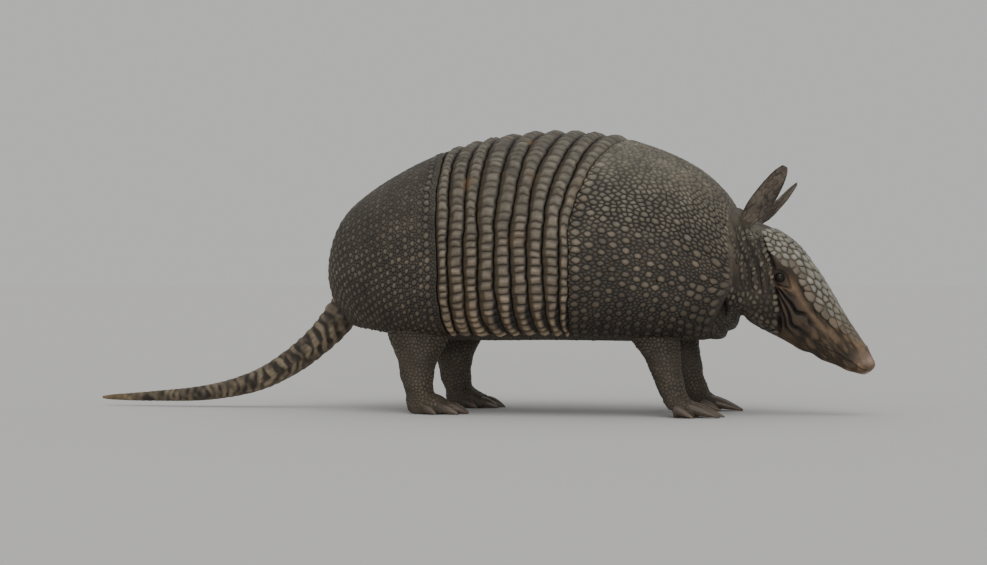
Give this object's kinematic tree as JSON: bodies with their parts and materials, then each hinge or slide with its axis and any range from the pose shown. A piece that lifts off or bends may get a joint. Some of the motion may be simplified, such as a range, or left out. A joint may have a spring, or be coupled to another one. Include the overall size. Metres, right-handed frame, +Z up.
{
  "type": "nine-banded armadillo",
  "caption": "Standing nine-banded armadillo, a still life-size model with a jointed-looking bony shell, long pointed head, upright ears and a tapering tail.",
  "frame": {"origin": "on the floor, under the middle of the animal's length, width and height box", "axes": "+X towards the head, +Y to the animal's left, +Z up"},
  "size_m": [0.5944, 0.1634, 0.2069],
  "materials": {
    "shell": "horny scutes over bone, dry satin",
    "band": "horny bars over bone, dry satin",
    "skin": "rough wrinkled hide with small scales",
    "tail": "ringed horny scutes, dry satin",
    "claw": "worn smooth horn",
    "eye": "wet dark gloss"
  },
  "bodies": {
    "root": {"band_1": "band", "band_2": "band", "band_3": "band", "band_4": "band", "band_5": "band", "band_6": "band", "band_7": "band", "band_8": "band", "band_9": "band", "ear_left": "skin", "ear_right": "skin", "eye_left": "eye", "eye_right": "eye", "front_left_claw_1": "claw", "front_left_claw_2": "claw", "front_left_claw_3": "claw", "front_left_claw_4": "claw", "front_left_foot": "skin", "front_left_leg": "skin", "front_right_claw_1": "claw", "front_right_claw_2": "claw", "front_right_claw_3": "claw", "front_right_claw_4": "claw", "front_right_foot": "skin", "front_right_leg": "skin", "head": "skin", "head_shield": "shell", "hind_left_claw_1": "claw", "hind_left_claw_2": "claw", "hind_left_claw_3": "claw", "hind_left_claw_4": "claw", "hind_left_claw_5": "claw", "hind_left_foot": "skin", "hind_left_leg": "skin", "hind_right_claw_1": "claw", "hind_right_claw_2": "claw", "hind_right_claw_3": "claw", "hind_right_claw_4": "claw", "hind_right_claw_5": "claw", "hind_right_foot": "skin", "hind_right_leg": "skin", "neck": "skin", "pelvic_shield": "shell", "shoulder_shield": "shell", "tail_base": "tail", "tail_middle": "tail", "tail_tip": "tail", "trunk": "skin"}
  },
  "joints": []
}
